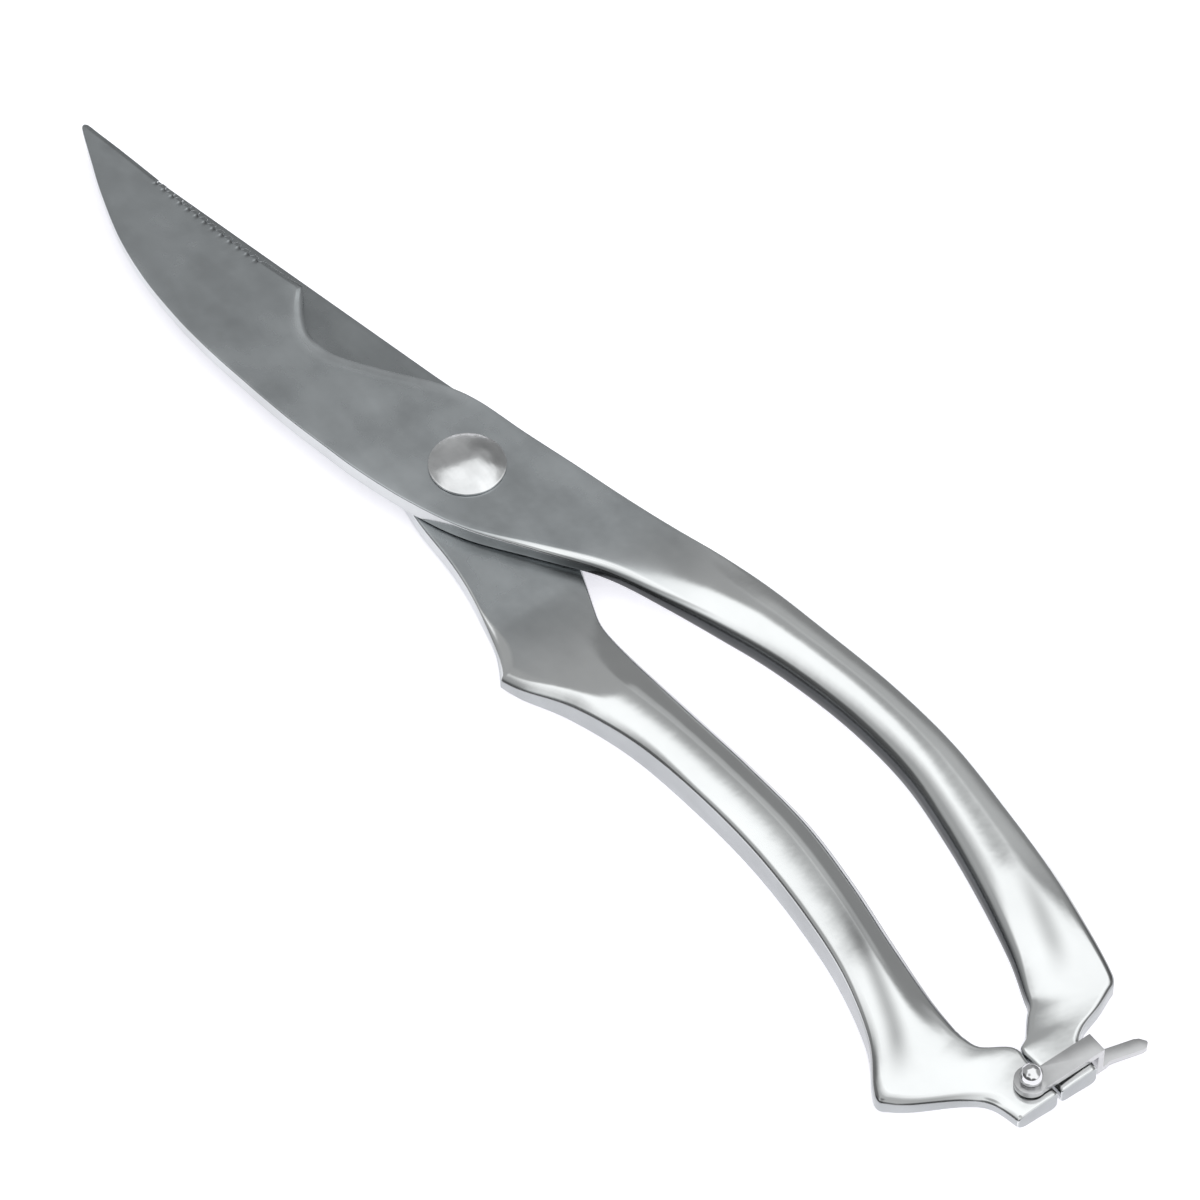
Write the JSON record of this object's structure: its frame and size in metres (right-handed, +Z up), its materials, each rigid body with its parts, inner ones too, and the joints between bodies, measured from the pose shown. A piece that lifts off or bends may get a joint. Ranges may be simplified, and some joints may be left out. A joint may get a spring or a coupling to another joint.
{
  "type": "poultry shears",
  "caption": "Spring-loaded stainless poultry shears with one curved blade with a serrated tip and bone notch, shaped steel handles and a swinging end latch.",
  "frame": {"origin": "where the pivot axis meets the flat underside of the pivot nut, which is level with the bellies of both grips", "axes": "+X from the pivot to the blade tips, +Y towards the handle that carries the latch, +Z up along the pivot axis, on the side of the screw's domed head"},
  "size_m": [0.2489, 0.0508, 0.0103],
  "materials": {
    "lower_half": "satin ground blade, mirror polished grip",
    "upper_half": "satin ground blade, mirror polished grip",
    "pivot_screw": "mirror polished stainless steel",
    "pivot_nut": "turned stainless steel",
    "pivot_spring": "drawn spring steel wire",
    "latch": "satin stamped stainless steel",
    "latch_rivet": "mirror polished stainless steel",
    "latch_washer": "plain stainless steel"
  },
  "bodies": {
    "lower": {"lower_half": "lower_half", "pivot_screw": "pivot_screw", "pivot_nut": "pivot_nut", "pivot_spring": "pivot_spring", "latch_rivet": "latch_rivet", "latch_washer": "latch_washer"},
    "upper": {"upper_half": "upper_half"},
    "latch": {"latch": "latch"}
  },
  "joints": [
    {"name": "blades_hinge", "type": "hinge", "parent": "lower", "child": "upper", "pos_m": [0, 0, 0.004], "axis": [0, 0, 1], "range_deg": [0, 42], "deforming": ["pivot_spring"]},
    {"name": "latch_hinge", "type": "hinge", "parent": "lower", "child": "latch", "pos_m": [-0.1461, 0.0025, 0.006], "axis": [0, 0, 1], "range_deg": [-100, 0]}
  ]
}
